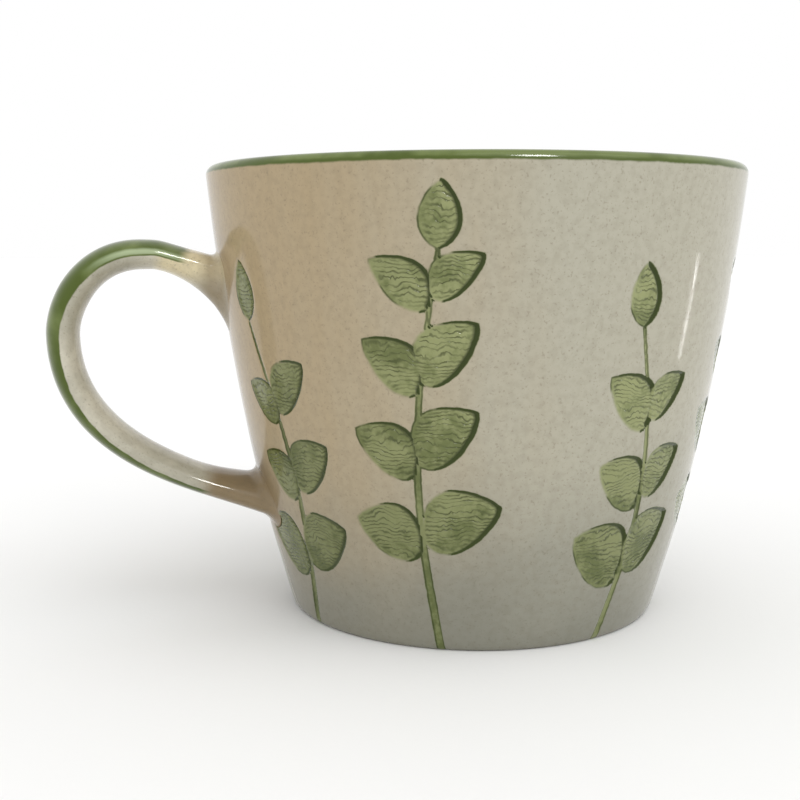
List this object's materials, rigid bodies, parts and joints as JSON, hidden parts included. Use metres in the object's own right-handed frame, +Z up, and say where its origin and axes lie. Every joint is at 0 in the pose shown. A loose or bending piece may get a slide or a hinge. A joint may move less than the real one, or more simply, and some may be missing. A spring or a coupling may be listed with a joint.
{
  "type": "stoneware mug",
  "caption": "Wide glazed stoneware mug that flares from a narrow foot to a rounded lip, with a looped strap handle for holding hot drinks.",
  "frame": {"origin": "on the cup's axis, in the plane that the foot ring stands on", "axes": "+Z up along the cup's axis, the handle points towards -X, and +Y is away from the decorated front"},
  "size_m": [0.125, 0.097, 0.08],
  "materials": {
    "cup_glaze": "gloss",
    "handle_glaze": "gloss",
    "joint_glaze": "gloss"
  },
  "bodies": {
    "root": {"cup_body": "cup_glaze", "handle": "handle_glaze", "upper_slip_joint": "joint_glaze", "lower_slip_joint": "joint_glaze"}
  },
  "joints": []
}
